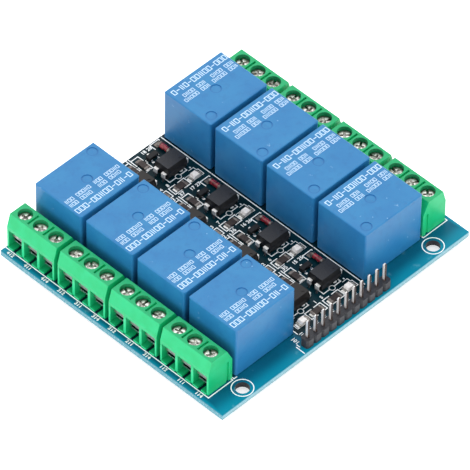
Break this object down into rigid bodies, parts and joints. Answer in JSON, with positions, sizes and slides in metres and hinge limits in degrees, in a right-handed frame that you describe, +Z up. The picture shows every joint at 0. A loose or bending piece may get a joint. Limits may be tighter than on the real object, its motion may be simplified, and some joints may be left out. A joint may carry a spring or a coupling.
{
  "type": "relay module board",
  "caption": "Flat circuit board with two rows of box-shaped relays, screw terminal blocks along both sides, driver parts between the rows and a pin header at the front.",
  "frame": {"origin": "middle of the underside of the circuit board", "axes": "+X across the board towards the right-hand terminals, +Y along the relay rows away from the header, +Z up"},
  "size_m": [0.0816, 0.0724, 0.0184],
  "materials": {
    "board": "solder-masked glass-epoxy laminate, satin",
    "relay_plastic": "moulded thermoplastic, satin gloss",
    "black_plastic": "moulded, satin",
    "copper_winding": "enamelled wire on a bobbin",
    "iron": "plated soft iron",
    "spring_bronze": "rolled strip",
    "tinned_metal": "tin plated",
    "terminal_plastic": "moulded polyamide, satin",
    "screw_steel": "zinc plated",
    "pin_brass": "plated square wire",
    "epoxy_black": "moulded epoxy",
    "diode_glass": "tinted glass",
    "lamp_lens": "milky epoxy lens",
    "resistor_black": "glazed alumina chip"
  },
  "bodies": {
    "root": {"circuit_board": "board", "relay_case_1": "relay_plastic", "relay_case_2": "relay_plastic", "relay_case_3": "relay_plastic", "relay_case_4": "relay_plastic", "relay_case_5": "relay_plastic", "relay_case_6": "relay_plastic", "relay_case_7": "relay_plastic", "relay_case_8": "relay_plastic", "relay_base_1": "black_plastic", "relay_base_2": "black_plastic", "relay_base_3": "black_plastic", "relay_base_4": "black_plastic", "relay_base_5": "black_plastic", "relay_base_6": "black_plastic", "relay_base_7": "black_plastic", "relay_base_8": "black_plastic", "relay_coils": "copper_winding", "relay_yokes": "iron", "relay_armatures": "iron", "relay_contact_springs": "spring_bronze", "relay_terminals": "tinned_metal", "terminal_housing_1": "terminal_plastic", "terminal_housing_2": "terminal_plastic", "terminal_housing_3": "terminal_plastic", "terminal_housing_4": "terminal_plastic", "terminal_housing_5": "terminal_plastic", "terminal_housing_6": "terminal_plastic", "terminal_housing_7": "terminal_plastic", "terminal_housing_8": "terminal_plastic", "terminal_screws_left": "screw_steel", "terminal_screws_right": "screw_steel", "terminal_clamps_left": "tinned_metal", "terminal_clamps_right": "tinned_metal", "wire_guards_left": "screw_steel", "wire_guards_right": "screw_steel", "header_strip": "black_plastic", "header_pins": "pin_brass", "optocoupler_1": "epoxy_black", "optocoupler_2": "epoxy_black", "optocoupler_3": "epoxy_black", "optocoupler_4": "epoxy_black", "optocoupler_5": "epoxy_black", "optocoupler_6": "epoxy_black", "optocoupler_7": "epoxy_black", "optocoupler_8": "epoxy_black", "optocoupler_leads": "tinned_metal", "transistors": "epoxy_black", "transistor_leads": "tinned_metal", "diode_glass": "diode_glass", "diode_caps": "tinned_metal", "leds": "lamp_lens", "led_ends": "tinned_metal", "resistors": "resistor_black", "resistor_ends": "tinned_metal"}
  },
  "joints": []
}
